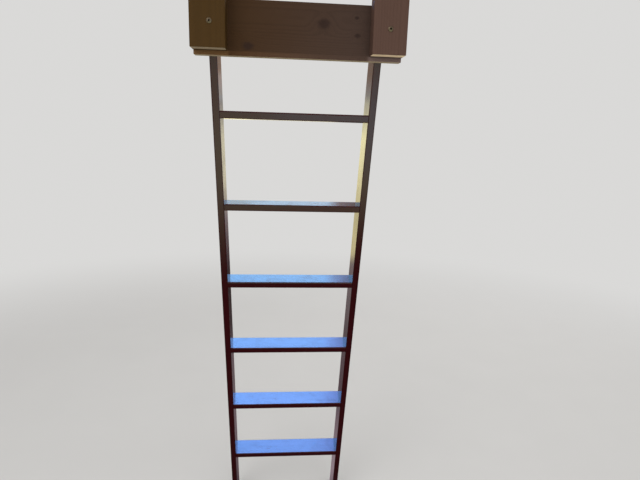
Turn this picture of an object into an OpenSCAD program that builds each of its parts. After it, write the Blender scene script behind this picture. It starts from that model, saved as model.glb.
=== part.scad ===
// Loft ladder with the hanger that ties it to the edge beam of a sleeping loft.
// Millimetres, +Z up. +Y runs from the beam side of the ladder to its climbing side,
// and +X runs to the right of someone who stands under the loft.
// The origin is the middle of the hanger board's top edge, which bears on the beam's underside.

/* [Ladder] */
// Height of the beam's underside above the floor
beam_h = 2020; // [1900:5:2200]
// Slope of the stringers, in degrees from the floor
slope = 74; // [70:0.5:78]
// Clear width between the two stringers
clear_w = 440; // [380:5:480]
// How far the ladder stands to the right of the hanger's middle
ladder_shift = -6; // [-15:1:15]

/* [Stringers] */
// Thickness of a stringer
stringer_t = 22; // [18:1:28]
// Depth of a stringer, square to its slope
stringer_d = 95; // [80:1:120]

/* [Treads] */
// Thickness of a tread
tread_t = 22; // [18:1:30]
// How deep a tread's end is let into the stringer
housing_depth = 8; // [5:0.5:12]
// How far the housing stops short of the stringer's front and back edges
housing_stop = 12; // [8:1:20]
// Gap left at the bottom of a housing, behind the tread's end
housing_gap = 0.3; // [0.1:0.1:0.6]

/* [Hanger board] */
// How far the board reaches past the ladder at each end
board_overhang = 44; // [36:1:80]
// Height of the hanger board
board_h = 145; // [120:5:180]
// Thickness of the hanger board
board_t = 28; // [26:1:40]

/* [Hanger blocks] */
// Width of a hanger block
block_w = 93; // [80:1:110]
// Thickness of a hanger block
block_t = 48; // [46:1:54]
// How far a block stands out past the end of the board
block_proud = 2; // [0:1:6]
// How far the board hangs down below the blocks
board_drop = 12; // [5:1:30]
// How far the blocks reach up over the face of the beam
block_up = 133; // [100:1:180]

/* [Screws] */
// Diameter of the screws' shanks
screw_d = 6; // [5:0.5:7]
// Diameter of the block screws' washer heads
washer_head_d = 14; // [12:0.5:18]
// Length of a block screw, under its head
block_screw_l = 70; // [62:1:72]
// Height of the block screws above the board's lower edge
block_screw_h = 78; // [65:1:90]
// How far the left block's screw sits to the right of the block's middle
left_screw_shift = 5; // [-10:1:10]
// Diameter of the holes for the beam's own bolts, high in the blocks
beam_hole_d = 8; // [7:0.5:12]
// Height of the beam's bolts above the beam's underside
beam_hole_h = 67; // [40:1:90]
// Length of a stringer screw, under its head
stringer_screw_l = 90; // [80:1:92]
// Height of the stringer screws above the board's lower edge
stringer_screw_h = 45; // [30:1:52]
// Diameter of a stringer screw's head
sunk_head_d = 11; // [9:0.5:12]
// Diameter of the wooden plugs over the stringer screws
plug_d = 12; // [12:0.5:14]
// Length of a plug at its middle
plug_l = 10; // [7:0.5:12]

/* [Edges] */
// Radius of the ladder's rounded long edges
ladder_arris = 3; // [1:0.5:5]
// Radius of the hanger's rounded edges
hanger_arris = 2.5; // [1:0.5:4]

/* [Hidden] */

LEFT = -1;
RIGHT = 1;
TREADS = 6;
ARRIS_STEPS = 4;
BORE_FN = 48;
PAST = 1;                 // how far a cutter runs past the face that it cuts
SHANK_PLAY = 0.1;         // between a screw's shank and its hole
WASHER_HEAD_H = 3;        // height of a washer head
WASHER_RIM_H = 1.2;       // height of a washer head's rim
SUNK_HEAD_H = 4;          // height of a stringer screw's head
PLUG_GAP = 0.3;           // between a stringer screw's head and its plug
DRIVE_D = 5.6;            // driver's recess, across its corners
DRIVE_DEPTH = 2;
POINT_L = 9;              // length of a screw's point

// The last of the equal rises ends at the beam
rise = beam_h / (TREADS + 1);
floor_z = -beam_h;
board_l = clear_w + 2 * stringer_t + 2 * board_overhang;
board_back = board_t / 2;
board_front = -board_t / 2;
board_bottom = -board_h;
slope_run = 1 / tan(slope);                  // level run of the slope for each unit of height
level_depth = stringer_d / sin(slope);       // depth of a stringer along the level
stringer_x = clear_w / 2 + stringer_t / 2;
block_x = board_l / 2 + block_proud - block_w / 2;
block_bottom = board_bottom + board_drop;
block_h = block_up - block_bottom;
block_screw_z = board_bottom + block_screw_h;
stringer_screw_z = board_bottom + stringer_screw_h;

// Front and back edges of the slanted ladder at a height
function front_at(z) = board_back + (board_bottom - z) * slope_run;
function back_at(z) = front_at(z) + level_depth;
function tread_top(n) = floor_z + n * rise;
function tread_outline(n, stop) =
    let (top = tread_top(n), bottom = top - tread_t)
    [[front_at(bottom) + stop, bottom], [back_at(bottom) - stop, bottom],
     [back_at(top) - stop, top], [front_at(top) + stop, top]];
stringer_head_y = back_at(stringer_screw_z) - plug_l - PLUG_GAP - SUNK_HEAD_H;

// A convex outline with each corner turned into an arc of radius r
function unit(v) = v / norm(v);
function turned(v, a) = [v.x * cos(a) - v.y * sin(a), v.x * sin(a) + v.y * cos(a)];
function corner_arc(before, corner, after, r) =
    let (back = unit(before - corner), ahead = unit(after - corner),
         half = acos(back * ahead) / 2,
         centre = corner + unit(back + ahead) * r / sin(half),
         spoke = corner + back * r / tan(half) - centre)
    [for (i = [0 : ARRIS_STEPS]) centre + turned(spoke, (180 - 2 * half) * i / ARRIS_STEPS)];
function rounded(points, r) =
    let (n = len(points))
    [for (i = [0 : n - 1]) each corner_arc(points[(i + n - 1) % n], points[i], points[(i + 1) % n], r)];
function rectangle(w, h) = [[-w / 2, -h / 2], [w / 2, -h / 2], [w / 2, h / 2], [-w / 2, h / 2]];

// Extrudes an outline that is drawn in Y and Z, centred on X
module along_x(length) {
    translate([-length / 2, 0, 0]) rotate([90, 0, 90]) linear_extrude(height = length) children();
}

// A planed timber, centred, with all its edges eased
module eased_timber(size, r) {
    intersection() {
        translate([0, 0, -size.z / 2]) linear_extrude(height = size.z)
            polygon(rounded(rectangle(size.x, size.y), r));
        along_x(size.x) polygon(rounded(rectangle(size.y, size.z), r));
        translate([0, size.y / 2, 0]) rotate([90, 0, 0]) linear_extrude(height = size.y)
            polygon(rounded(rectangle(size.x, size.z), r));
    }
}

// A screw's shank, pointing down from the underside of its head
module shank(d, length) {
    translate([0, 0, POINT_L - length]) cylinder(h = length - POINT_L, d = d, $fn = BORE_FN);
    translate([0, 0, -length]) cylinder(h = POINT_L, d1 = d / 6, d2 = d, $fn = BORE_FN);
}

module shank_bore(length) {
    shank(screw_d + SHANK_PLAY, length + SHANK_PLAY);
}

module drive_recess(head_top) {
    translate([0, 0, head_top - DRIVE_DEPTH]) cylinder(h = DRIVE_DEPTH + PAST, d = DRIVE_D, $fn = 6);
}

module at_block_screw(side) {
    shift = side == LEFT ? left_screw_shift : 0;
    translate([side * block_x + shift, board_front - block_t, block_screw_z]) rotate([90, 0, 0]) children();
}

module at_stringer_screw(side) {
    translate([ladder_shift + side * stringer_x, stringer_head_y, stringer_screw_z])
        rotate([-90, 0, 0]) children();
}

// One slanted plank, cut level on the floor and under the beam, and plumb against the board
module stringer_blank(side) {
    slope_l = (beam_h + 2 * stringer_d) / sin(slope);
    intersection() {
        translate([ladder_shift + side * stringer_x, front_at(floor_z), floor_z])
            rotate([90 - slope, 0, 0]) translate([0, stringer_d / 2, -stringer_d])
                linear_extrude(height = slope_l)
                    polygon(rounded(rectangle(stringer_t, stringer_d), ladder_arris));
        translate([ladder_shift + side * stringer_x - stringer_t, board_back, floor_z])
            cube([2 * stringer_t, back_at(floor_z), beam_h]);
    }
}

// The stopped housings that take the treads' tongues, in both stringers at once
module housings() {
    for (n = [1 : TREADS])
        translate([ladder_shift, 0, 0])
            along_x(clear_w + 2 * (housing_depth + housing_gap)) polygon(tread_outline(n, housing_stop));
}

module stringer(side) {
    color("#3a1418") difference() {
        stringer_blank(side);
        housings();
        at_stringer_screw(side) {
            shank_bore(stringer_screw_l);
            cylinder(h = stringer_d, d = plug_d, $fn = BORE_FN);
        }
    }
}

// A tread with its front and back cut to the slope, and a shouldered tongue at each end
module tread(n) {
    color("#4a1c20") translate([ladder_shift, 0, 0]) {
        along_x(clear_w) polygon(rounded(tread_outline(n, 0), ladder_arris));
        along_x(clear_w + 2 * housing_depth) polygon(tread_outline(n, housing_stop));
    }
}

module hanger_board() {
    color("#4a3426") difference() {
        translate([0, 0, board_bottom / 2]) eased_timber([board_l, board_t, board_h], hanger_arris);
        for (side = [LEFT, RIGHT]) {
            at_block_screw(side) shank_bore(block_screw_l);
            at_stringer_screw(side) shank_bore(stringer_screw_l);
        }
    }
}

module hanger_block(side) {
    color("#5a4028") difference() {
        translate([side * block_x, board_front - block_t / 2, block_bottom + block_h / 2])
            eased_timber([block_w, block_t, block_h], hanger_arris);
        at_block_screw(side) shank_bore(block_screw_l);
        translate([side * block_x, board_front + PAST, beam_hole_h]) rotate([90, 0, 0])
            cylinder(h = block_t + 2 * PAST, d = beam_hole_d, $fn = BORE_FN);
    }
}

// Washer-head screw that holds a block to the board
module block_screw(side) {
    rim_r = washer_head_d / 2;
    crown_r = washer_head_d / 3;
    color("#b4aca0") at_block_screw(side) {
        shank(screw_d, block_screw_l);
        difference() {
            rotate_extrude($fn = BORE_FN)
                polygon([[0, 0], [rim_r, 0], [rim_r, WASHER_RIM_H], [crown_r, WASHER_HEAD_H], [0, WASHER_HEAD_H]]);
            drive_recess(WASHER_HEAD_H);
        }
    }
}

// Long screw that holds a stringer to the board, sunk from the climbing side
module stringer_screw(side) {
    color("#b4aca0") at_stringer_screw(side) {
        shank(screw_d, stringer_screw_l);
        difference() {
            cylinder(h = SUNK_HEAD_H, d = sunk_head_d, $fn = BORE_FN);
            drive_recess(SUNK_HEAD_H);
        }
    }
}

// Wooden plug over a stringer screw, trimmed flush with the stringer's back edge
module plug(side) {
    color("#3a1418") intersection() {
        at_stringer_screw(side) translate([0, 0, SUNK_HEAD_H + PLUG_GAP])
            cylinder(h = stringer_d, d = plug_d, $fn = BORE_FN);
        stringer_blank(side);
    }
}

stringer(LEFT);  // stringer_left
stringer(RIGHT);  // stringer_right
tread(1);  // tread_1
tread(2);  // tread_2
tread(3);  // tread_3
tread(4);  // tread_4
tread(5);  // tread_5
tread(6);  // tread_6
hanger_board();
hanger_block(LEFT);  // hanger_block_left
hanger_block(RIGHT);  // hanger_block_right
block_screw(LEFT);  // block_screw_left
block_screw(RIGHT);  // block_screw_right
stringer_screw(LEFT);  // stringer_screw_left
stringer_screw(RIGHT);  // stringer_screw_right
plug(LEFT);  // plug_left
plug(RIGHT);  // plug_right
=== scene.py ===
import math

import bmesh
import bpy
from bpy.props import FloatProperty, FloatVectorProperty, PointerProperty
from mathutils import Matrix, Vector


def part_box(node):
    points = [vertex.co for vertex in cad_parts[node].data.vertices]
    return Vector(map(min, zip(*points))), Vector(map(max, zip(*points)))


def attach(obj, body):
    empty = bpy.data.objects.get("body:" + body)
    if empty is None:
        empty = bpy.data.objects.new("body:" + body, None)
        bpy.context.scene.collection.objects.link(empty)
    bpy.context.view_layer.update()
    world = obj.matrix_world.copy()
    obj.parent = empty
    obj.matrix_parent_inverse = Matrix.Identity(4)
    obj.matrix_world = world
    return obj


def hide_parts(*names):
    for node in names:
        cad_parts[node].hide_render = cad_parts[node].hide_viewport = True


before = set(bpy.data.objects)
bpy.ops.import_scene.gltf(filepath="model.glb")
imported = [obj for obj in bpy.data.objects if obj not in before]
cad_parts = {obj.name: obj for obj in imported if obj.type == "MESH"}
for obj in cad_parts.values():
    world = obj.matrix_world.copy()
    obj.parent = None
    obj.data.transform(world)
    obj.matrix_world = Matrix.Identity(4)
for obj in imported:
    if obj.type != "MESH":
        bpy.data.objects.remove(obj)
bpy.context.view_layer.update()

bl_info = {
    "name": "Loft Ladder Finish",
    "version": (1, 0, 0),
    "blender": (4, 5, 0),
    "location": "3D View > Sidebar > Loft Ladder",
    "description": "Stain, varnish, plugs and screws for a loft ladder, with its studio",
    "category": "Object",
}

# Places that the CAD model fixes, in metres
SIDES = {"left": -1.0, "right": 1.0}
SLOPE = math.radians(74.0)
UP_SLOPE = Vector((0.0, -math.cos(SLOPE), math.sin(SLOPE)))
OFF_SLOPE = Vector((0.0, math.sin(SLOPE), math.cos(SLOPE)))
ORIGIN = (0.0, 0.0, 0.0)
ACROSS_X = Vector((1.0, 0.0, 0.0))
ACROSS_Y = Vector((0.0, 1.0, 0.0))
ACROSS_Z = Vector((0.0, 0.0, 1.0))
FLOOR_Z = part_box("stringer_left")[0].z
BOARD_LOW, BOARD_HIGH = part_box("hanger_board")
STRINGER_DEPTH = 0.095
STRINGER_THICK = 0.022
TREAD_THICK = 0.022


def middle(node):
    """Middle of a CAD node's box."""
    low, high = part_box(node)
    return (low + high) / 2


def stringer_axis_point(node):
    """Middle of a stringer's section, at the height of the hanger board's lower edge."""
    front = Vector((middle(node).x, BOARD_HIGH.y, BOARD_LOW.z))
    return front + OFF_SLOPE * (STRINGER_DEPTH / 2)


def link_object(name, data):
    """A new object in the scene."""
    made = bpy.data.objects.new(name, data)
    bpy.context.scene.collection.objects.link(made)
    return made


# Settings that a user would change
def colour_setting(label, text, value):
    """A linear colour with its alpha."""
    return FloatVectorProperty(
        name=label, description=text, default=(*value, 1.0), size=4, min=0.0, max=1.0, subtype="COLOR"
    )


def length_setting(label, text, value):
    """A length in metres."""
    return FloatProperty(name=label, description=text, default=value, min=0.0, unit="LENGTH", precision=4)


def share_setting(label, text, value):
    """A share from none to all."""
    return FloatProperty(name=label, description=text, default=value, min=0.0, max=1.0, subtype="FACTOR")


def power_setting(label, text, value):
    """The power of a lamp, in watts."""
    return FloatProperty(name=label, description=text, default=value, min=0.0, unit="POWER")


def strength_setting(label, text, value):
    """A strength without a unit."""
    return FloatProperty(name=label, description=text, default=value, min=0.0)


def angle_setting(label, text, degrees):
    """An angle, given in degrees."""
    return FloatProperty(name=label, description=text, default=math.radians(degrees), subtype="ANGLE")


class LadderFinish(bpy.types.PropertyGroup):
    """Stain and varnish of the stringers and treads."""

    stain_early: colour_setting("Soft wood", "Wine stain where the rings are soft", (0.033, 0.0027, 0.0040))
    stain_late: colour_setting("Hard wood", "Wine stain where the rings are hard", (0.012, 0.0010, 0.0015))
    worn_wood: colour_setting("Worn wood", "Wood that shows where feet rub the edges", (0.080, 0.022, 0.015))
    knot_stain: colour_setting("Stained knot", "Knots under the stain", (0.005, 0.0008, 0.0010))
    ring_width: length_setting("Ring width", "Distance from one growth ring to the next", 0.0034)
    gloss: share_setting("Varnish roughness", "Roughness of the clean varnish", 0.14)
    wear: share_setting("Edge wear", "How much the treads' edges are worn", 0.55)


class HangerFinish(bpy.types.PropertyGroup):
    """Aged stain of the hanger's board and blocks."""

    # The board's turn from its left end's brown to the cooler right end's is painted light
    board: colour_setting("Board's left end", "Brown at the left end", (0.050, 0.0228, 0.0073))
    board_right: colour_setting("Board's right end", "Brown at the right end", (0.061, 0.0365, 0.0275))
    left_block: colour_setting("Left block", "Olive brown of the left block", (0.060, 0.0300, 0.0066))
    right_block: colour_setting("Right block", "Plum brown of the right block", (0.097, 0.0535, 0.039))
    hard_grain: share_setting("Hard grain", "How light the hard rings are beside the soft wood", 0.84)
    # Pale bare wood low along the hanger's front is painted light from below; its rings also colour the worn
    # edges
    pale_wood_painted_light: colour_setting("Bare wood", "Wood low on the hanger that has no stain", (0.68, 0.55, 0.36))
    worn_and_underlit_rings: colour_setting("Rings in bare wood", "Hard rings in the bare wood", (0.42, 0.29, 0.15))
    knot: colour_setting("Knots", "Knots in the hanger's timbers", (0.022, 0.011, 0.009))
    ring_width: length_setting("Ring width", "Distance from one growth ring to the next", 0.0046)
    roughness: share_setting("Roughness", "Roughness of the aged stain", 0.62)


class FastenerSizes(bpy.types.PropertyGroup):
    """Sizes and colours of the screws and plugs."""

    plug_diameter: length_setting("Plug diameter", "Wooden plugs over the treads' screws", 0.010)
    plug_proud: length_setting("Plug stands out", "How far a plug stands out of the stringer", 0.0004)
    plug_depth: length_setting("Plug depth", "How far a plug goes into the stringer", 0.007)
    shank: length_setting("Shank", "Diameter of a screw between its threads", 0.0042)
    thread: length_setting("Thread", "Diameter of a screw over its threads", 0.006)
    pitch: length_setting("Pitch", "Distance from one turn of the thread to the next", 0.003)
    recess: length_setting("Recess", "Width of the driver's recess", 0.0056)
    zinc: colour_setting("Zinc", "Colour of the plated screws", (0.170, 0.130, 0.085))
    tarnish: colour_setting("Tarnish", "Dull film on the screws", (0.095, 0.068, 0.045))


class StudioSettings(bpy.types.PropertyGroup):
    """Floor, lamps and camera."""

    floor: colour_setting("Floor", "Plain pale floor", (0.60, 0.59, 0.575))
    background: colour_setting("Background", "Plain pale background", (0.70, 0.695, 0.685))
    fill: strength_setting("Fill", "Even light from all round", 0.80)
    key: power_setting("Key", "Soft lamp in front", 46.0)
    low: power_setting("Low", "Soft lamp in front, low down", 8.0)
    back: power_setting("Back", "Soft lamp behind", 50.0)
    sheen: strength_setting("Sheen", "Light of the cards that the gloss mirrors", 1.0)
    eye: FloatVectorProperty(
        name="Eye",
        description="Place of the camera",
        default=(-0.0511, -1.4483, -0.3316),
        subtype="TRANSLATION",
    )
    yaw: angle_setting("Yaw", "Turn to the right", 4.9555)
    pitch: angle_setting("Pitch", "Tilt down", 12.7301)
    roll: angle_setting("Roll", "Turn round the line of sight", 1.7335)
    lens: FloatProperty(name="Lens", description="Focal length", default=27.71, unit="CAMERA")


SETTINGS = {
    "ladder_finish": LadderFinish,
    "hanger_finish": HangerFinish,
    "ladder_fasteners": FastenerSizes,
    "ladder_studio": StudioSettings,
}


# Shader nodes
def feed(tree, socket, value):
    """Joins a socket to another, or gives it a value."""
    if isinstance(value, bpy.types.NodeSocket):
        tree.links.new(value, socket)
    else:
        socket.default_value = value


def add(tree, kind, sockets=(), **settings):
    """Adds a node with its settings and what its sockets take."""
    made = tree.nodes.new(kind)
    for key, value in settings.items():
        setattr(made, key, value)
    for key, value in dict(sockets).items():
        feed(tree, made.inputs[key], value)
    return made


def maths(tree, operation, first, second=0.0, third=0.0):
    """One sum on two or three values."""
    sockets = {0: first, 1: second, 2: third}
    return add(tree, "ShaderNodeMath", sockets, operation=operation).outputs[0]


def product(tree, first, second):
    """Two values multiplied."""
    return maths(tree, "MULTIPLY", first, second)


def weigh(tree, values, weights, start=0.0, clamp=False):
    """The sum of named values, each times its weight, added to a start."""
    total = start
    for name, weight in weights.items():
        total = maths(tree, "MULTIPLY_ADD", values[name], weight, total)
    total.node.use_clamp = clamp
    return total


def vector_maths(tree, operation, first, second=ORIGIN):
    """One sum on two vectors. A dot product or a length is a value."""
    made = add(tree, "ShaderNodeVectorMath", {0: first, 1: second}, operation=operation)
    return made.outputs["Value" if operation in ("DOT_PRODUCT", "LENGTH") else "Vector"]


def stretched(tree, place, scale):
    """A place scaled by its own share on each axis."""
    return vector_maths(tree, "MULTIPLY", place, scale)


def ease(tree, value, start, end, low=0.0, high=1.0):
    """Goes smoothly from low to high while the value goes from start to end."""
    sockets = {"Value": value, "From Min": start, "From Max": end, "To Min": low, "To Max": high}
    return add(tree, "ShaderNodeMapRange", sockets, interpolation_type="SMOOTHSTEP").outputs["Result"]


def ease_off(tree, value, start, end, low=0.0):
    """Goes smoothly from 1 down to low while the value goes from start to end."""
    return ease(tree, value, start, end, 1.0, low)


def blend(tree, share, first, second, mode="MIX"):
    """Mixes two colours."""
    made = add(tree, "ShaderNodeMix", data_type="RGBA", blend_type=mode, clamp_factor=True)
    feed(tree, made.inputs[0], share)
    feed(tree, made.inputs[6], first)
    feed(tree, made.inputs[7], second)
    return made.outputs[2]


def layer(tree, colour, mark, share, over):
    """Lays a colour over another as far as a mark shows, times a share."""
    return blend(tree, product(tree, mark, share), colour, over)


def darker(tree, colour, share):
    """A colour times a share."""
    return blend(tree, 1.0, colour, (share, share, share, 1.0), "MULTIPLY")


def noise(tree, place, scale=1.0, stretch=None, detail=2.0, rough=0.5, distortion=0.0):
    """Smooth noise from 0 to 1, with its own scale on each axis where it is stretched."""
    if stretch:
        place = stretched(tree, place, stretch)
    sockets = {"Vector": place, "Scale": scale, "Detail": detail, "Roughness": rough}
    made = add(tree, "ShaderNodeTexNoise", sockets, noise_dimensions="3D")
    made.inputs["Distortion"].default_value = distortion
    return made.outputs[0]


def object_place(tree):
    """The place in metres, from the frame's origin."""
    return add(tree, "ShaderNodeTexCoord").outputs["Object"]


def parts_of(tree, vector):
    """X, Y and Z of a vector."""
    return add(tree, "ShaderNodeSeparateXYZ", {0: vector}).outputs


def bump_up(tree, shader, height, strength, depth):
    """Bump from a height, whose full range stands for a depth in metres."""
    bump = add(tree, "ShaderNodeBump", {"Height": height, "Strength": strength, "Distance": depth})
    feed(tree, shader.inputs["Normal"], bump.outputs["Normal"])


FLOAT = "NodeSocketFloat"
VECTOR = "NodeSocketVector"


def start_group(name, inputs, outputs):
    """An empty shader group that reads a place and more: (tree, what comes in, what goes out)."""
    tree = bpy.data.node_groups.new(name, "ShaderNodeTree")
    for label, kind, value in [("Place", VECTOR, ORIGIN), *inputs]:
        tree.interface.new_socket(name=label, in_out="INPUT", socket_type=kind).default_value = value
    for label in outputs:
        tree.interface.new_socket(name=label, in_out="OUTPUT", socket_type=FLOAT)
    return tree, tree.nodes.new("NodeGroupInput").outputs, tree.nodes.new("NodeGroupOutput").inputs


def use_group(tree, name, sockets):
    """Places a shader group in a tree and feeds its sockets."""
    made = tree.nodes.new("ShaderNodeGroup")
    made.node_tree = bpy.data.node_groups[name]
    for key, value in sockets.items():
        feed(tree, made.inputs[key], value)
    return made.outputs


# Noises, in waves a metre: over all, or across, through and along a timber
SWAY = {"stretch": (7.0, 7.0, 1.1), "detail": 3.0, "rough": 0.45}
FINE_FIBRES = {"stretch": (1500.0, 1500.0, 22.0), "rough": 0.6}
COARSE_FIBRES = {"stretch": (420.0, 420.0, 9.0), "rough": 0.6}
DRIFT = {"stretch": (16.0, 16.0, 3.0), "detail": 3.0, "rough": 0.55}
RAGGED = {"scale": 150.0}
BROKEN = {"stretch": (240.0, 240.0, 45.0), "detail": 4.0, "rough": 0.65}
SMUDGES = {"scale": 19.0, "detail": 4.0, "rough": 0.6, "distortion": 0.6}
SCRATCH_BEND = {"scale": 9.0}
SCRATCH_PATCHES = {"scale": 34.0}
DUST = {"scale": 900.0, "rough": 0.7}
RAGGED_EDGE_NOISE = {"scale": 160.0, "detail": 3.0}
FILM = {"scale": 420.0, "detail": 4.0, "rough": 0.65}
FLOOR_TONE = {"scale": 3.0, "detail": 3.0}

NO_Z = (1.0, 1.0, 0.0)
# A ring's hard wood rises and ends between these shares of its width
RING_RISE = (0.35, 0.88)
RING_END = (0.90, 1.0)
FAINTEST_RING = 0.4


def build_growth_group():
    """Growth rings round a pith, with the fibres that run along them.

    The place has X across the timber's wide face, Y through it and Z along its grain.
    """
    tree, given, out = start_group(
        "growth rings",
        [
            ("Pith", VECTOR, ORIGIN),
            ("Ring Width", FLOAT, 0.004),
            ("Push", FLOAT, 0.0),
            ("Wander", FLOAT, 0.010),
        ],
        ["Rings", "Fibres", "Drift"],
    )
    place = given["Place"]
    sway = maths(tree, "SUBTRACT", noise(tree, place, **SWAY), 0.5)
    section = stretched(tree, vector_maths(tree, "SUBTRACT", place, given["Pith"]), NO_Z)
    radius = maths(tree, "MULTIPLY_ADD", sway, given["Wander"], vector_maths(tree, "LENGTH", section))
    radius = maths(tree, "ADD", radius, given["Push"])
    turns = maths(tree, "DIVIDE", radius, given["Ring Width"])
    phase = maths(tree, "FRACT", turns)
    hard = product(tree, ease(tree, phase, *RING_RISE), ease_off(tree, phase, *RING_END))
    number = maths(tree, "FLOOR", turns)
    odd = add(tree, "ShaderNodeTexWhiteNoise", {"W": number}, noise_dimensions="1D").outputs["Value"]
    depth = maths(tree, "MULTIPLY_ADD", odd, 1.0 - FAINTEST_RING, FAINTEST_RING)
    feed(tree, out["Rings"], product(tree, hard, depth))
    fibres = maths(tree, "ADD", noise(tree, place, **FINE_FIBRES), noise(tree, place, **COARSE_FIBRES))
    feed(tree, out["Fibres"], product(tree, fibres, 0.5))
    feed(tree, out["Drift"], noise(tree, place, **DRIFT))


# A knot's distances count in full across the timber, and less through it and along it
KNOT_SHARES = (1.0, 0.12, 0.72)
KNOT_RAGGEDNESS = 0.5
# Its heart and its halo end between these numbers of its radius
HEART_END = (0.40, 1.25)
HALO_END = (0.6, 3.6)


def build_knot_group():
    """A knot through the timber: the hard heart, and the halo that the grain flows round."""
    inputs = [("Centre", VECTOR, ORIGIN), ("Radius", FLOAT, 0.008)]
    tree, given, out = start_group("knot", inputs, ["Heart", "Halo"])
    off = stretched(tree, vector_maths(tree, "SUBTRACT", given["Place"], given["Centre"]), KNOT_SHARES)
    ragged = maths(tree, "SUBTRACT", noise(tree, given["Place"], **RAGGED), 0.5)
    far = maths(tree, "DIVIDE", vector_maths(tree, "LENGTH", off), given["Radius"])
    far = maths(tree, "MULTIPLY_ADD", ragged, KNOT_RAGGEDNESS, far)
    feed(tree, out["Heart"], ease_off(tree, far, *HEART_END))
    feed(tree, out["Halo"], ease_off(tree, far, *HALO_END))


# How much noise breaks the worn edge up, and the levels at which it starts and is full
BREAK_UP = 1.4
WORN_LEVELS = (0.10, 0.42)


def build_wear_group():
    """Wear along the long edges of a timber, broken up by noise."""
    tree, given, out = start_group(
        "edge wear",
        [
            ("Half Width", FLOAT, 0.05),
            ("Half Thickness", FLOAT, 0.011),
            ("Reach", FLOAT, 0.004),
            ("Amount", FLOAT, 0.5),
        ],
        ["Worn"],
    )
    x, y, _ = parts_of(tree, vector_maths(tree, "ABSOLUTE", given["Place"]))
    near_side = ease_off(tree, maths(tree, "SUBTRACT", given["Half Width"], x), 0.0, given["Reach"])
    near_face = ease_off(tree, maths(tree, "SUBTRACT", given["Half Thickness"], y), 0.0, given["Reach"])
    edge = product(tree, near_side, near_face)
    level = maths(tree, "SUBTRACT", maths(tree, "ADD", edge, given["Amount"]), 1.0)
    broken = maths(tree, "SUBTRACT", noise(tree, given["Place"], **BROKEN), 0.5)
    level = maths(tree, "MULTIPLY_ADD", broken, BREAK_UP, level)
    feed(tree, out["Worn"], product(tree, ease(tree, level, *WORN_LEVELS), edge))


# Where noise turns into smudges, patches of scratches and dust
SMUDGE_LEVELS = (0.42, 0.72)
PATCH_LEVELS = (0.54, 0.66)
DUST_LEVELS = (0.60, 0.78)
# Scratches run between cells, in cells a metre, and bend by so many metres
SCRATCH_CELLS = (75.0, 75.0, 14.0)
SCRATCH_SWAY = (0.012, 0.012, 0.012)
SCRATCH_WIDTH = 0.018


def build_handling_group():
    """Dull patches and fine scratches that hands and feet leave on a finish."""
    inputs = [("Scratches", FLOAT, 0.5)]
    tree, given, out = start_group("handling", inputs, ["Dull", "Scratch", "Dust"])
    place = given["Place"]
    feed(tree, out["Dull"], ease(tree, noise(tree, place, **SMUDGES), *SMUDGE_LEVELS))
    bend = stretched(tree, noise(tree, place, **SCRATCH_BEND), SCRATCH_SWAY)
    cells = stretched(tree, vector_maths(tree, "ADD", place, bend), SCRATCH_CELLS)
    line = add(tree, "ShaderNodeTexVoronoi", {"Vector": cells, "Scale": 1.0}, feature="DISTANCE_TO_EDGE")
    thin = ease_off(tree, line.outputs["Distance"], 0.0, SCRATCH_WIDTH)
    patch = ease(tree, noise(tree, place, **SCRATCH_PATCHES), *PATCH_LEVELS)
    feed(tree, out["Scratch"], product(tree, product(tree, thin, patch), given["Scratches"]))
    feed(tree, out["Dust"], ease(tree, noise(tree, place, **DUST), *DUST_LEVELS))


# Wood
class Timber:
    """Where a timber's grain lies: its middle, its axes, half its section, its pith and its knots."""

    def __init__(self, centre, across, through, along, half, pith, knots=()):
        self.centre, self.across, self.through, self.along = centre, across, through, along
        self.half, self.pith, self.knots = half, pith, knots

    def place(self, tree):
        """The timber's own coordinates, from the object's."""
        here = vector_maths(tree, "SUBTRACT", object_place(tree), self.centre)
        axes = (self.across, self.through, self.along)
        shares = {n: vector_maths(tree, "DOT_PRODUCT", here, axis) for n, axis in enumerate(axes)}
        return add(tree, "ShaderNodeCombineXYZ", shares).outputs[0]


# How far the grain swings aside at a knot, in metres
KNOT_PUSH = 0.009


def knots_of(tree, timber, place):
    """The hearts and halos of all of a timber's knots, and how far they push its rings aside."""
    heart, halo = 0.0, 0.0
    for across, along, radius in timber.knots:
        sockets = {"Place": place, "Centre": (across, 0.0, along), "Radius": radius}
        made = use_group(tree, "knot", sockets)
        heart = maths(tree, "MAXIMUM", made["Heart"], heart)
        halo = maths(tree, "MAXIMUM", made["Halo"], halo)
    return heart, halo, product(tree, maths(tree, "POWER", halo, 2.0), KNOT_PUSH)


def marks_of(tree, timber, place, ring_width, wander, wear, scratches, shift=ORIGIN):
    """All that a finish follows on a timber: its grain, knots, worn edges and scratches."""
    heart, halo, push = knots_of(tree, timber, place)
    rings = {"Place": place, "Pith": timber.pith, "Ring Width": ring_width, "Push": push, "Wander": wander}
    grain = use_group(tree, "growth rings", rings)
    edges = {"Place": place, "Half Width": timber.half[0], "Half Thickness": timber.half[1], "Amount": wear}
    own = vector_maths(tree, "ADD", place, shift)
    touched = use_group(tree, "handling", {"Place": own, "Scratches": scratches})
    return {
        "rings": grain["Rings"],
        "fibres": grain["Fibres"],
        "drift": grain["Drift"],
        "heart": heart,
        "halo": halo,
        "worn": use_group(tree, "edge wear", edges)["Worn"],
        "dull": touched["Dull"],
        "scratch": touched["Scratch"],
    }


def empty_material(name):
    """A material with only its shader: (material, tree, shader)."""
    material = bpy.data.materials.new(name)
    material.use_nodes = True
    tree = material.node_tree
    return material, tree, tree.nodes["Principled BSDF"]


def dress(node, material):
    """Gives a CAD node its material."""
    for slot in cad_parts[node].material_slots:
        slot.material = material


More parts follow.
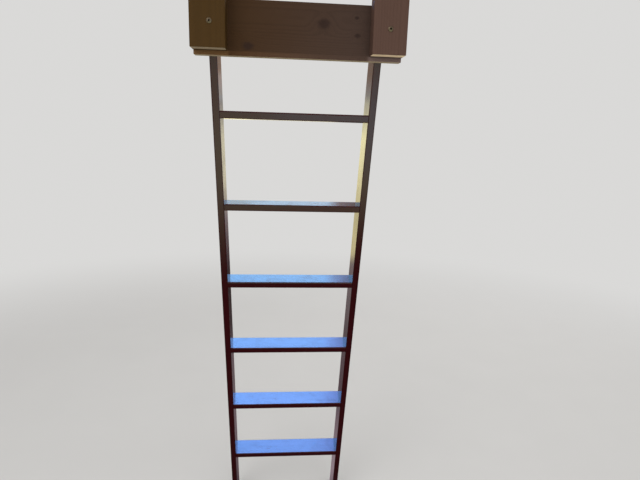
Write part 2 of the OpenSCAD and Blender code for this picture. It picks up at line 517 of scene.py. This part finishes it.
# Varnished wood: how much each mark counts in its tone, roughness and relief
VARNISH_IOR = 1.33
STAIN_WANDER = 0.012
STAIN_TONE = {"fibres": 0.55, "rings": 0.65, "drift": 0.45}
STAIN_TONE_START = -0.34
WORN_THROUGH = 0.85
SCRATCHED_THROUGH = 0.30
VARNISH_ROUGHNESS = {"dull": 0.05, "worn": 0.30, "scratch": 0.25, "rings": 0.04}
VARNISH_RELIEF = {"rings": 0.35, "fibres": 0.30, "scratch": -0.35, "worn": -0.5}
VARNISH_BUMP = (0.35, 0.00022)


def varnished_wood(name, timber, finish, wear, scratches):
    """Wine stain under a glossy varnish."""
    material, tree, shader = empty_material(name)
    place = timber.place(tree)
    marks = marks_of(tree, timber, place, finish.ring_width, STAIN_WANDER, wear, scratches, timber.centre)
    tone = weigh(tree, marks, STAIN_TONE, STAIN_TONE_START, clamp=True)
    colour = blend(tree, tone, tuple(finish.stain_early), tuple(finish.stain_late))
    colour = blend(tree, marks["heart"], colour, tuple(finish.knot_stain))
    colour = layer(tree, colour, marks["worn"], WORN_THROUGH, tuple(finish.worn_wood))
    colour = layer(tree, colour, marks["scratch"], SCRATCHED_THROUGH, tuple(finish.worn_wood))
    feed(tree, shader.inputs["Base Color"], colour)
    feed(tree, shader.inputs["Roughness"], weigh(tree, marks, VARNISH_ROUGHNESS, finish.gloss))
    shader.inputs["IOR"].default_value = VARNISH_IOR
    bump_up(tree, shader, weigh(tree, marks, VARNISH_RELIEF), *VARNISH_BUMP)
    return material


# The board is painted lighter under the blocks, which start so far from the middle: painted light that
# cancels the shadow the blocks cast on it
UNDER_BLOCKS = (0.186, 0.200)
UNDER_BLOCKS_PAINTED_LIGHT = (1.5, 1.9, 2.4)
# All along the edge it is lighter by one share on the left and another on the right
EDGE_GAIN = {"start": -0.06, "end": 0.12, "low": 0.5, "high": 0.15}
# It reaches full strength between these heights over the board's lower edge
PALER_EDGE_HEIGHTS = (0.0105, 0.0150)


def paler_edge_and_painted_light(tree, colour, across, height):
    """The board's colour, lighter along its lower edge and most of all under the blocks, where painted light
    cancels their shadow.
    """
    outer = ease(tree, maths(tree, "ABSOLUTE", across), *UNDER_BLOCKS)
    gain = stretched(tree, outer, UNDER_BLOCKS_PAINTED_LIGHT)
    gain = vector_maths(tree, "ADD", gain, ease(tree, across, **EDGE_GAIN))
    gain = stretched(tree, gain, ease_off(tree, height, *PALER_EDGE_HEIGHTS))
    return stretched(tree, colour, vector_maths(tree, "ADD", gain, (1.0, 1.0, 1.0)))


# Aged stain: how much each mark counts in its tone, roughness and relief
AGED_WANDER = 0.016
AGED_WEAR = 0.20
AGED_SCRATCHES = 0.5
AGED_TONE = {"fibres": 0.5, "rings": 0.7, "drift": 0.9}
AGED_TONE_START = -0.55
AGED_LAYERS = {"halo": 0.15, "heart": 0.7, "worn": 0.3}
AGED_ROUGHNESS = {"dull": 0.12, "bare": 0.25}
AGED_SPECULAR = 0.08
AGED_RELIEF = {"rings": 0.5, "fibres": 0.6, "scratch": -0.5}
AGED_BUMP = (0.5, 0.00035)
# The board's colour turns from its left to its right end within so many metres of its middle; the cooler
# right end is painted light
COLOUR_TURN = 0.25
# Pale bare wood low along the front, painted light from below: its tone, how far noise lifts its edge, where
# it ends above and, as painted shade, behind the front, and how bright its painted light is on each timber
UNDERLIT_TONE = {"rings": 0.55, "drift": 0.35}
RAGGED_EDGE_RISE = 0.0009
UNDERLIT_HEIGHTS = (0.0006, 0.0013)
PAINTED_SHADE_DEPTHS = (0.028, 0.038)
UNDERSIDE_PAINTED_LIGHT = {"hanger_board": 0.66, "hanger_block_left": 0.56, "hanger_block_right": 1.38}


def aged_timber(name, timber, finish, ends, corner, painted_underlight):
    """Brown stain gone dull, with pale bare wood low down along the front: painted light from below, fading
    to painted shade towards the back.
    """
    material, tree, shader = empty_material(name)
    place = timber.place(tree)
    marks = marks_of(tree, timber, place, finish.ring_width, AGED_WANDER, AGED_WEAR, AGED_SCRATCHES)
    along = parts_of(tree, place)["Z"]
    # On the board the turn between the two ends is painted light, cooler on the right
    light = blend(tree, ease(tree, along, -COLOUR_TURN, COLOUR_TURN), tuple(ends[0]), tuple(ends[1]))
    dark = darker(tree, light, finish.hard_grain)
    colour = blend(tree, weigh(tree, marks, AGED_TONE, AGED_TONE_START, clamp=True), light, dark)
    overs = {"halo": dark, "heart": tuple(finish.knot), "worn": tuple(finish.worn_and_underlit_rings)}
    for mark, share in AGED_LAYERS.items():
        colour = layer(tree, colour, marks[mark], share, overs[mark])
    here = parts_of(tree, object_place(tree))
    height = maths(tree, "SUBTRACT", here["Z"], corner.z)
    height = maths(tree, "MULTIPLY_ADD", noise(tree, place, **RAGGED_EDGE_NOISE), RAGGED_EDGE_RISE, height)
    # On the board: lighter along the lower edge, with painted light under the blocks
    if timber.along == ACROSS_X:
        colour = paler_edge_and_painted_light(tree, colour, here["X"], height)
    # Painted light from below: pale bare wood along the lower front edge, ending towards the back in painted
    # shade
    behind = maths(tree, "SUBTRACT", here["Y"], corner.y)
    marks["bare"] = product(tree, ease_off(tree, height, *UNDERLIT_HEIGHTS), ease_off(tree, behind, *PAINTED_SHADE_DEPTHS))
    underlit_wood = blend(tree, weigh(tree, marks, UNDERLIT_TONE), tuple(finish.pale_wood_painted_light), tuple(finish.worn_and_underlit_rings))
    colour = blend(tree, marks["bare"], colour, darker(tree, underlit_wood, painted_underlight))
    feed(tree, shader.inputs["Base Color"], colour)
    feed(tree, shader.inputs["Roughness"], weigh(tree, marks, AGED_ROUGHNESS, finish.roughness))
    shader.inputs["Specular IOR Level"].default_value = AGED_SPECULAR
    bump_up(tree, shader, weigh(tree, marks, AGED_RELIEF), *AGED_BUMP)
    return material


# Plated steel: where the film shows, how rough film and plate are, and how high dust stands
FILM_LEVELS = (0.45, 0.75)
FILM_ROUGHNESS = 0.35
PLATE_ROUGHNESS = 0.34
DUST_HEIGHT = 0.4
PLATE_BUMP = (0.25, 0.0001)


def plated_steel(name, sizes):
    """Zinc plate with a dull film."""
    material, tree, shader = empty_material(name)
    here = object_place(tree)
    film = noise(tree, here, **FILM)
    colour = blend(tree, ease(tree, film, *FILM_LEVELS), tuple(sizes.zinc), tuple(sizes.tarnish))
    feed(tree, shader.inputs["Base Color"], colour)
    shader.inputs["Metallic"].default_value = 1.0
    rough = maths(tree, "MULTIPLY_ADD", film, FILM_ROUGHNESS, PLATE_ROUGHNESS)
    feed(tree, shader.inputs["Roughness"], rough)
    dust = use_group(tree, "handling", {"Place": here})["Dust"]
    bump_up(tree, shader, maths(tree, "MULTIPLY_ADD", dust, DUST_HEIGHT, film), *PLATE_BUMP)
    return material


# Each timber's pith and its knots, in metres from its middle: a knot is across, along and radius
STRINGER_GRAIN = {
    "stringer_left": ((0.035, -0.075, 0.0), [(0.016, -0.52, 0.008), (-0.020, -1.31, 0.006)]),
    "stringer_right": ((-0.060, 0.090, 0.0), [(-0.012, -0.86, 0.007), (0.022, -1.58, 0.009)]),
}
TREAD_GRAIN = {
    "tread_1": ((0.010, -0.062, 0.0), [(0.012, 0.128, 0.006)]),
    "tread_2": ((-0.024, -0.085, 0.0), [(-0.018, -0.150, 0.007)]),
    "tread_3": ((0.052, -0.048, 0.0), []),
    "tread_4": ((-0.012, -0.070, 0.0), [(0.020, 0.211, 0.005)]),
    "tread_5": ((0.030, -0.090, 0.0), [(-0.010, 0.060, 0.006)]),
    "tread_6": ((-0.045, -0.055, 0.0), []),
}
BOARD_KNOTS = [
    (-0.0457, -0.1392, 0.0125),
    (0.0193, 0.0663, 0.0140),
    (0.0386, 0.1563, 0.0050),
    (-0.0073, 0.1601, 0.0070),
]
HANGER_GRAIN = {
    "hanger_board": ((0.030, 0.045, 0.0), BOARD_KNOTS),
    "hanger_block_left": ((-0.020, 0.070, 0.0), [(-0.016, 0.105, 0.008)]),
    "hanger_block_right": ((0.055, 0.060, 0.0), [(-0.018, 0.085, 0.009)]),
}
STRINGER_PLUG = {"half": (0.006, 0.006), "pith": (0.004, 0.009, 0.0)}
TREAD_PLUG = {"half": (0.02, 0.02), "pith": (0.003, 0.012, 0.0)}
STRINGER_WEAR = 0.75
STRINGER_SCRATCHES = 0.3
TREAD_SCRATCHES = 1.0
TREAD_PLUG_SCRATCHES = 0.4


class StainStringers(bpy.types.Operator):
    """Stain and varnish both stringers and the plugs in their back edges"""

    bl_idname = "loft_ladder.stain_stringers"
    bl_label = "Stain stringers"

    def execute(self, context):
        finish = context.scene.ladder_finish
        half = (STRINGER_DEPTH / 2, STRINGER_THICK / 2)
        for side in SIDES:
            node, plug = f"stringer_{side}", f"plug_{side}"
            centre = stringer_axis_point(node)
            timber = Timber(centre, OFF_SLOPE, ACROSS_X, UP_SLOPE, half, *STRINGER_GRAIN[node])
            wear = finish.wear * STRINGER_WEAR
            dress(node, varnished_wood(f"stained {node}", timber, finish, wear, STRINGER_SCRATCHES))
            cork = Timber(middle(plug), UP_SLOPE, ACROSS_X, OFF_SLOPE, **STRINGER_PLUG)
            dress(plug, varnished_wood(f"stained plug {side}", cork, finish, 0.0, STRINGER_SCRATCHES))
        return {"FINISHED"}


class StainTreads(bpy.types.Operator):
    """Stain and varnish the six treads"""

    bl_idname = "loft_ladder.stain_treads"
    bl_label = "Stain treads"

    def execute(self, context):
        finish = context.scene.ladder_finish
        for node, grain in TREAD_GRAIN.items():
            low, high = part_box(node)
            half = ((high.y - low.y) / 2, TREAD_THICK / 2)
            timber = Timber(middle(node), ACROSS_Y, ACROSS_Z, ACROSS_X, half, *grain)
            dress(node, varnished_wood(f"stained {node}", timber, finish, finish.wear, TREAD_SCRATCHES))
        return {"FINISHED"}


class FinishHanger(bpy.types.Operator):
    """Give the hanger's board and blocks their aged brown stain"""

    bl_idname = "loft_ladder.finish_hanger"
    bl_label = "Finish hanger"

    def execute(self, context):
        finish = context.scene.hanger_finish
        colours = {
            "hanger_board": (finish.board, finish.board_right),
            "hanger_block_left": (finish.left_block, finish.left_block),
            "hanger_block_right": (finish.right_block, finish.right_block),
        }
        for node, grain in HANGER_GRAIN.items():
            low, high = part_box(node)
            across, along = (ACROSS_Z, ACROSS_X) if node == "hanger_board" else (ACROSS_X, ACROSS_Z)
            half = ((high - low).dot(across) / 2, (high.y - low.y) / 2)
            timber = Timber(middle(node), across, ACROSS_Y, along, half, *grain)
            dress(node, aged_timber(f"aged {node}", timber, finish, colours[node], low, UNDERSIDE_PAINTED_LIGHT[node]))
        return {"FINISHED"}


# Turned pieces, made of rings that are bridged one to the next
RING_POINTS = 48
LOBES = 6
SHARP_ANGLE = math.radians(35.0)


def add_ring(bm, radius, height, lobe):
    """A ring of points in the XY plane, with six lobes where it is a driver's recess."""
    made = bmesh.ops.create_circle(bm, cap_ends=False, segments=RING_POINTS, radius=radius)
    for vert in made["verts"]:
        swell = 1.0 + lobe * math.cos(LOBES * math.atan2(vert.co.y, vert.co.x))
        vert.co = Vector((vert.co.x * swell, vert.co.y * swell, height))
    return [edge for edge in bm.edges if edge.verts[0] in made["verts"] and edge.verts[1] in made["verts"]]


def turn_piece(bm, rings):
    """Bridges rings of (radius, height, lobe) in turn and closes both ends."""
    loops = [add_ring(bm, *ring) for ring in rings]
    for first, second in zip(loops, loops[1:]):
        bmesh.ops.bridge_loops(bm, edges=first + second)
    for loop in (loops[0], loops[-1]):
        bmesh.ops.contextual_create(bm, geom=loop)


# Steps in a turn of the thread, and half its ridge's foot as a share of the pitch
STEPS_PER_TURN = 20
RIDGE_FOOT = 0.24


def add_thread(bm, core, crest, pitch, low, high):
    """A closed ridge wound round the shank from low to high."""
    turns = (high - low) / pitch
    foot = pitch * RIDGE_FOOT
    corners = ((core, 0.0, low - foot), (crest, 0.0, low), (core, 0.0, low + foot))
    ridge = [bm.verts.new(corner) for corner in corners]
    profile = [bm.edges.new(pair) for pair in zip(ridge, ridge[1:] + ridge[:1])]
    cap = bmesh.ops.contextual_create(bm, geom=profile)["faces"]
    steps = max(1, round(turns * STEPS_PER_TURN))
    bmesh.ops.spin(
        bm,
        geom=ridge + profile + cap,
        cent=ORIGIN,
        axis=(0.0, 0.0, 1.0),
        dvec=(0.0, 0.0, (high - low) / steps),
        angle=math.tau * turns,
        steps=steps,
        use_merge=False,
        use_duplicate=False,
    )


def finish_mesh(bm, name, matrix, material):
    """Turns a bmesh into a piece that rides on the ladder, with its place in its mesh."""
    bmesh.ops.transform(bm, matrix=matrix, verts=bm.verts)
    bmesh.ops.recalc_face_normals(bm, faces=bm.faces)
    mesh = bpy.data.meshes.new(name)
    bm.to_mesh(mesh)
    bm.free()
    for face in mesh.polygons:
        face.use_smooth = True
    mesh.set_sharp_from_angle(angle=SHARP_ANGLE)
    mesh.materials.append(material)
    piece = link_object(name, mesh)
    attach(piece, "root")
    return piece


# Screw heads, in metres
WASHER_THICK = 0.0012
WASHER_RECESS_DEPTH = 0.0014
SUNK_HEAD = 0.004
SUNK_RECESS_DEPTH = 0.0020
RECESS_DISH = 0.0003
EASING = 0.0002
ROUNDING = 0.0003
RECESS_TURN = math.radians(11.0)
# The recess narrows to these shares of its half width, and its lobes swell by so much
RECESS_FLOOR = 0.80
RECESS_WALL = 0.86
LOBE_BOTTOM = 0.10
LOBE_WALL = 0.16
LOBE_RIM = 0.14
# Shares of a head's radius at its raised crown, above its flange and at its rounded edges
CROWN = 0.66
CROWN_TOP = 0.96
SHOULDER = 0.93
RIM_EDGE = 0.98
SUNK_TOP = 0.94
SUNK_EDGE = 0.95
# A screw's shaft: shares of the shank and of the length, and the point's length in metres
THICK_PART = 1.15
THICK_END = 0.45
SHANK_START = 0.46
THREAD_END = 0.48
POINT_LENGTH = 0.009
POINT_SHARE = 0.16
THREAD_FROM_POINT = 0.0095
THREAD_CORE = 0.97
THREAD_CREST = 0.99


def recess_rings(sizes, top, depth, bottom, rim):
    """A driver's recess from its bottom up. Bottom and rim are shares of its half width."""
    half = sizes.recess / 2
    return [
        (half * bottom, top - depth - RECESS_DISH, LOBE_BOTTOM),
        (half * RECESS_FLOOR, top - depth, LOBE_WALL),
        (half * RECESS_WALL, top - EASING, LOBE_WALL),
        (half * rim, top, LOBE_RIM),
    ]


def washer_rings(sizes, radius, height):
    """Rings of a washer head, from its recess out over its top and down its rim."""
    crown = radius * CROWN
    return [
        *recess_rings(sizes, height, WASHER_RECESS_DEPTH, bottom=0.45, rim=0.95),
        (crown * CROWN_TOP, height, 0.0),
        (crown, height - EASING / 2, 0.0),
        (radius * SHOULDER, WASHER_THICK + EASING, 0.0),
        (radius * RIM_EDGE, WASHER_THICK, 0.0),
        (radius, WASHER_THICK - ROUNDING, 0.0),
        (radius, EASING, 0.0),
        (radius * RIM_EDGE, 0.0, 0.0),
    ]


def sunk_rings(sizes, radius):
    """Rings of the plain head that a plug covers."""
    return [
        *recess_rings(sizes, SUNK_HEAD, SUNK_RECESS_DEPTH, bottom=0.44, rim=0.94),
        (radius * SUNK_TOP, SUNK_HEAD, 0.0),
        (radius, SUNK_HEAD - ROUNDING, 0.0),
        (radius, ROUNDING, 0.0),
        (radius * SUNK_EDGE, 0.0, 0.0),
    ]


def make_screw(name, node, matrix, sizes, material, rings, length):
    """A wood screw from its head's rings, with a thread on the lower part of its shank."""
    bm = bmesh.new()
    shank, thread = sizes.shank / 2, sizes.thread / 2
    point = -length
    shaft = [
        (shank * THICK_PART, 0.0, 0.0),
        (shank * THICK_PART, point * THICK_END, 0.0),
        (shank, point * SHANK_START, 0.0),
        (shank, point + POINT_LENGTH, 0.0),
        (shank * POINT_SHARE, point, 0.0),
    ]
    turn_piece(bm, rings + shaft)
    core, crest = shank * THREAD_CORE, thread * THREAD_CREST
    add_thread(bm, core, crest, sizes.pitch, point + THREAD_FROM_POINT, point * THREAD_END)
    piece = finish_mesh(bm, name, matrix, material)
    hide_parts(node)
    return piece


def quarter_turn(axis, sign=1.0):
    """A turn of 90 degrees."""
    return Matrix.Rotation(math.radians(90.0 * sign), 4, axis)


class MakeScrews(bpy.types.Operator):
    """Model the washer-head screws in the blocks and the sunk screws behind the stringers"""

    bl_idname = "loft_ladder.make_screws"
    bl_label = "Make screws"

    def execute(self, context):
        sizes = context.scene.ladder_fasteners
        steel = plated_steel("plated steel", sizes)
        for side in SIDES:
            node = f"block_screw_{side}"
            low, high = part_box(node)
            seat = middle(node)
            seat.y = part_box(f"hanger_block_{side}")[0].y
            turn = quarter_turn("X") @ Matrix.Rotation(RECESS_TURN, 4, "Z")
            rings = washer_rings(sizes, (high.x - low.x) / 2, seat.y - low.y)
            place = Matrix.Translation(seat) @ turn
            make_screw(f"washer_screw_{side}", node, place, sizes, steel, rings, high.y - seat.y)
            node = f"stringer_screw_{side}"
            low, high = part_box(node)
            seat = middle(node)
            seat.y = high.y - SUNK_HEAD
            rings = sunk_rings(sizes, (high.x - low.x) / 2)
            place = Matrix.Translation(seat) @ quarter_turn("X", -1.0)
            make_screw(f"long_screw_{side}", node, place, sizes, steel, rings, seat.y - low.y)
        return {"FINISHED"}


# How far the two plugs stand behind a tread's front edge, and how their ends are eased
PLUG_ROWS = (0.029, 0.070)
PLUG_FOOT_EASING = 0.0004
PLUG_FOOT = 0.94
PLUG_FACE = 0.95


class MakeTreadPlugs(bpy.types.Operator):
    """Model the wooden plugs over the screws that go through the stringers into the treads"""

    bl_idname = "loft_ladder.make_tread_plugs"
    bl_label = "Make tread plugs"

    def execute(self, context):
        sizes = context.scene.ladder_fasteners
        finish = context.scene.ladder_finish
        radius, proud = sizes.plug_diameter / 2, sizes.plug_proud
        rings = [
            (radius * PLUG_FOOT, -sizes.plug_depth, 0.0),
            (radius, PLUG_FOOT_EASING - sizes.plug_depth, 0.0),
            (radius, proud - ROUNDING, 0.0),
            (radius * PLUG_FACE, proud, 0.0),
        ]
        for node in TREAD_GRAIN:
            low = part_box(node)[0]
            for side, sign in SIDES.items():
                stringer_low, stringer_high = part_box(f"stringer_{side}")
                face_x = stringer_low.x if side == "left" else stringer_high.x
                seats = [Vector((face_x, low.y + row, middle(node).z)) for row in PLUG_ROWS]
                bm = bmesh.new()
                for seat in seats:
                    before = set(bm.verts)
                    turn_piece(bm, rings)
                    cork = [vert for vert in bm.verts if vert not in before]
                    place = Matrix.Translation(seat) @ quarter_turn("Y", sign)
                    bmesh.ops.transform(bm, matrix=place, verts=cork)
                timber = Timber(seats[0], UP_SLOPE, ACROSS_X, OFF_SLOPE, **TREAD_PLUG)
                label = f"stained {node} plugs {side}"
                material = varnished_wood(label, timber, finish, 0.0, TREAD_PLUG_SCRATCHES)
                finish_mesh(bm, f"{node}_plugs_{side}", Matrix.Identity(4), material)
        return {"FINISHED"}


# Studio
def stage_piece(name, mesh, material):
    """A thing of the studio, which isn't part of the ladder."""
    mesh.materials.append(material)
    piece = link_object(name, mesh)
    return piece


def sheet_mesh(name, width, height, matrix):
    """A flat rectangle."""
    bm = bmesh.new()
    bmesh.ops.create_grid(bm, x_segments=1, y_segments=1, size=0.5)
    bmesh.ops.scale(bm, vec=(width, height, 1.0), verts=bm.verts)
    bmesh.ops.transform(bm, matrix=matrix, verts=bm.verts)
    mesh = bpy.data.meshes.new(name)
    bm.to_mesh(mesh)
    bm.free()
    return mesh


def mix_shaders(tree, output, share, first, second):
    """Mixes two shaders into a tree's output."""
    mixed = add(tree, "ShaderNodeMixShader", {0: share, 1: first.outputs[0], 2: second.outputs[0]})
    feed(tree, tree.nodes[output].inputs["Surface"], mixed.outputs[0])


def seen_ray(tree):
    """1 for a ray from the camera, or one that a gloss or glass sends on."""
    path = add(tree, "ShaderNodeLightPath").outputs
    seen = maths(tree, "MAXIMUM", path["Is Camera Ray"], path["Is Glossy Ray"])
    return maths(tree, "MAXIMUM", seen, path["Is Transmission Ray"])


def card_light(tree, value, stops):
    """A card's light as a share of its strength, from one stop to the next."""
    start, span = stops[0][0], stops[-1][0] - stops[0][0]
    share = maths(tree, "DIVIDE", maths(tree, "SUBTRACT", value, start), span)
    made = add(tree, "ShaderNodeValToRGB", {0: share})
    marks = made.color_ramp.elements
    while len(marks) < len(stops):
        marks.new(1.0)
    for mark, (place, light) in zip(marks, stops):
        mark.position = (place - start) / span
        mark.color = (*(part / CARD_STRENGTH for part in light), 1.0)
    return made.outputs["Color"]


def add_lamp(name, place, target, size, power):
    """A soft lamp that looks at a point."""
    lamp = bpy.data.lights.new(name, "AREA")
    lamp.shape, lamp.size, lamp.size_y = "RECTANGLE", size[0], size[1]
    lamp.energy = power
    made = link_object(name, lamp)
    made.location = place
    made.rotation_euler = (Vector(target) - Vector(place)).to_track_quat("-Z", "Y").to_euler()
    made.visible_camera = False
    return made


# Light of the cards that the gloss mirrors, as shares of white
ICE = (4.15, 9.20, 23.5)
HAZE = (1.33, 3.12, 5.55)
MILK = (1.23, 1.57, 1.82)
MIST = (0.58, 0.70, 0.78)
PALE = (0.78, 0.86, 0.80)
DIM = (0.55, 0.53, 0.50)
WARM = (1.30, 1.20, 0.85)
STRAW = (2.50, 2.30, 1.30)
GOLD = (1.40, 1.22, 0.66)
GLOW = (1.75, 2.00, 1.55)
MOSS = (2.10, 2.45, 1.65)
SLATE = (2.20, 2.85, 2.85)
CLAY = (0.70, 0.58, 0.53)
BROWN = (0.44, 0.31, 0.23)
MAUVE = (0.55, 0.42, 0.48)
LILAC = (0.38, 0.31, 0.32)
PLUM = (0.17, 0.125, 0.14)
DARK = (0.05, 0.04, 0.04)
DUSK = (1.20, 1.90, 3.40)
VIOLET = (4.10, 7.40, 20.4)
CARD_STRENGTH = 24.0
# Each card's strips from left to right, and each strip's light along the card's axis
TALL_CARD = (
    [(-2.02, GOLD), (-0.55, STRAW), (0.10, WARM), (0.60, MIST), (1.54, HAZE), (3.59, ICE)],
    [(-2.02, LILAC), (-1.30, WARM), (-0.55, WARM), (0.10, DIM), (0.60, MILK), (1.54, HAZE), (3.59, ICE)],
    [(-2.02, LILAC), (-0.55, DIM), (0.10, BROWN), (0.80, BROWN), (1.54, DUSK), (3.59, VIOLET)],
)
NEAR_CARD = (
    [(-0.165, WARM), (-0.08, DIM), (0.02, BROWN), (2.80, BROWN)],
    [(-0.125, DIM), (-0.05, CLAY), (0.00, CLAY), (0.05, BROWN), (2.80, BROWN)],
)
FLOOR_CARD = (
    [
        *[(-6.00, PALE), (-4.20, GLOW), (-3.00, GLOW), (-2.40, MOSS), (-1.85, MOSS), (-0.85, DARK)],
        *[(0.45, DARK), (0.80, PLUM), (1.80, LILAC), (4.60, LILAC), (5.20, GOLD), (8.00, GOLD)],
    ],
    [
        *[(-6.00, PALE), (-4.20, GLOW), (-3.20, SLATE), (-2.40, SLATE), (-1.85, MOSS), (-1.05, DARK)],
        *[(0.45, DARK), (0.72, MAUVE), (1.45, PLUM), (2.00, PLUM), (2.60, DARK), (4.20, DARK)],
        *[(5.60, PLUM), (8.00, LILAC)],
    ],
)
CARD_Z = FLOOR_Z + 0.004
# Each card's size, middle, axis, splits between strips, strips, and where it fades in and out
CARDS = {
    "tall_card": ((6.0, 7.04), (0.0, 8.0, 1.5), "Z", (-0.6, 1.0), TALL_CARD, (-2.3, -1.7), (0.9, 1.6)),
    "near_card": ((3.2, 2.925), (0.0, 2.2, 1.3375), "Z", (-0.066,), NEAR_CARD, (-1.6, -1.4), (1.4, 1.6)),
    "floor_card": ((6.0, 14.0), (0.0, 1.0, CARD_Z), "Y", (-0.12,), FLOOR_CARD, (-2.0, -1.2), (1.3, 2.0)),
}
# Half the width over which two strips meet, and the light that is left on a card's right side
STRIP_MEET = 0.12
RIGHT_SIDE_LIGHT = 0.45
# The floor: its size, its darker tone, its roughness, and where it fades into the background
FLOOR_SIZE = 40.0
FLOOR_SHADE = 0.96
FLOOR_ROUGHNESS = 0.7
FLOOR_FADE = (2.6, 5.5)
# Each lamp's place and size, and the point that all look at
LAMPS = {
    "key": ((-2.2, -3.0, 1.9), (2.4, 2.4)),
    "low": ((0.9, -3.6, -0.6), (2.4, 2.0)),
    "back": ((2.4, 3.2, 1.8), (2.2, 2.2)),
}
LAMP_AIM = (0.0, 0.25, -0.95)
LOW_SPREAD = math.radians(75.0)
SENSOR_WIDTH = 36.0


class BuildStudio(bpy.types.Operator):
    """Lay the pale floor and set the lamps and the camera"""

    bl_idname = "loft_ladder.build_studio"
    bl_label = "Build studio"

    def execute(self, context):
        studio = context.scene.ladder_studio
        self.lay_floor(studio)
        self.light_world(context.scene, studio)
        self.hang_cards(studio)
        self.set_lamps(studio)
        self.set_camera(context.scene, studio)
        context.scene.view_settings.view_transform = "Standard"
        return {"FINISHED"}

    def lay_floor(self, studio):
        """A pale floor that fades into the background far from the ladder."""
        material, tree, shader = empty_material("pale floor")
        here = object_place(tree)
        shade = tuple(FLOOR_SHADE * part for part in studio.floor[:3]) + (1.0,)
        tone = blend(tree, noise(tree, here, **FLOOR_TONE), tuple(studio.floor), shade)
        feed(tree, shader.inputs["Base Color"], tone)
        shader.inputs["Roughness"].default_value = FLOOR_ROUGHNESS
        shader.inputs["Specular IOR Level"].default_value = 0.0
        away = vector_maths(tree, "LENGTH", stretched(tree, here, NO_Z))
        share = product(tree, ease(tree, away, *FLOOR_FADE), seen_ray(tree))
        glow = add(tree, "ShaderNodeEmission", {"Color": tuple(studio.background), "Strength": 1.0})
        mix_shaders(tree, "Material Output", share, shader, glow)
        mesh = sheet_mesh("floor", FLOOR_SIZE, FLOOR_SIZE, Matrix.Translation((0.0, 0.0, FLOOR_Z)))
        stage_piece("floor", mesh, material)

    def light_world(self, scene, studio):
        """Even light from all round, with the plain background where it is seen."""
        world = bpy.data.worlds.new("studio")
        world.use_nodes = True
        tree = world.node_tree
        white = (1.0, 1.0, 1.0, 1.0)
        even = add(tree, "ShaderNodeBackground", {"Color": white, "Strength": studio.fill})
        plain = add(tree, "ShaderNodeBackground", {"Color": tuple(studio.background), "Strength": 1.0})
        mix_shaders(tree, "World Output", seen_ray(tree), even, plain)
        scene.world = world

    def hang_cards(self, studio):
        """Cards behind the ladder and on the floor, which only a gloss mirrors."""
        for name, (size, centre, axis, splits, strips, rise, fall) in CARDS.items():
            turn = quarter_turn("X") if axis == "Z" else Matrix.Identity(4)
            mesh = sheet_mesh(name, *size, Matrix.Translation(centre) @ turn)
            material, tree, _ = empty_material(name)
            here = parts_of(tree, object_place(tree))
            colour = card_light(tree, here[axis], strips[0])
            for split, stops in zip(splits, strips[1:]):
                share = ease(tree, here["X"], split - STRIP_MEET, split + STRIP_MEET)
                colour = blend(tree, share, colour, card_light(tree, here[axis], stops))
            fade_in = ease(tree, here["X"], *rise)
            fade_out = ease_off(tree, here["X"], *fall, RIGHT_SIDE_LIGHT)
            power = product(tree, product(tree, fade_in, fade_out), CARD_STRENGTH * studio.sheen)
            glow = add(tree, "ShaderNodeEmission", {"Color": colour, "Strength": power})
            feed(tree, tree.nodes["Material Output"].inputs["Surface"], glow.outputs[0])
            card = stage_piece(name, mesh, material)
            card.visible_camera = False
            card.visible_diffuse = False
            card.visible_shadow = False

    def set_lamps(self, studio):
        """A soft key in front, a lower one that reaches under the blocks, and a soft lamp behind."""
        lamps = {}
        for name, (place, size) in LAMPS.items():
            lamps[name] = add_lamp(name, place, LAMP_AIM, size, getattr(studio, name))
        lamps["low"].data.spread = LOW_SPREAD
        lamps["low"].visible_glossy = False

    def set_camera(self, scene, studio):
        """The photograph's point of view."""
        flat = math.cos(studio.pitch)
        ahead = Vector((math.sin(studio.yaw) * flat, math.cos(studio.yaw) * flat, -math.sin(studio.pitch)))
        right = Vector((math.cos(studio.yaw), -math.sin(studio.yaw), 0.0))
        up = right.cross(ahead)
        cos, sin = math.cos(studio.roll), math.sin(studio.roll)
        columns = (cos * right + sin * up, cos * up - sin * right, -ahead)
        camera = link_object("camera", bpy.data.cameras.new("camera"))
        camera.data.lens, camera.data.sensor_width = studio.lens, SENSOR_WIDTH
        camera.matrix_world = Matrix.Translation(studio.eye) @ Matrix(columns).transposed().to_4x4()
        scene.camera = camera


class LOFTLADDER_PT_finish(bpy.types.Panel):
    """Lists the steps and settings of the ladder's finish"""

    bl_idname = "LOFTLADDER_PT_finish"
    bl_label = "Loft Ladder"
    bl_space_type = "VIEW_3D"
    bl_region_type = "UI"
    bl_category = "Loft Ladder"

    def draw(self, context):
        for step in STEPS:
            self.layout.operator(step.bl_idname)
        for key, group in SETTINGS.items():
            box = self.layout.box()
            for name in group.__annotations__:
                box.prop(getattr(context.scene, key), name)


STEPS = (StainStringers, StainTreads, FinishHanger, MakeScrews, MakeTreadPlugs, BuildStudio)
CLASSES = (*SETTINGS.values(), *STEPS, LOFTLADDER_PT_finish)


def register():
    """Registers the settings, steps and panel."""
    for made in CLASSES:
        bpy.utils.register_class(made)
    for key, group in SETTINGS.items():
        setattr(bpy.types.Scene, key, PointerProperty(type=group))


def unregister():
    """Takes them out again."""
    for key in SETTINGS:
        delattr(bpy.types.Scene, key)
    for made in reversed(CLASSES):
        bpy.utils.unregister_class(made)


def main():
    """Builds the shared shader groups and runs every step."""
    register()
    build_growth_group()
    build_knot_group()
    build_wear_group()
    build_handling_group()
    bpy.ops.loft_ladder.stain_stringers()
    bpy.ops.loft_ladder.stain_treads()
    bpy.ops.loft_ladder.finish_hanger()
    bpy.ops.loft_ladder.make_screws()
    bpy.ops.loft_ladder.make_tread_plugs()
    bpy.ops.loft_ladder.build_studio()


if __name__ == "__main__":
    main()
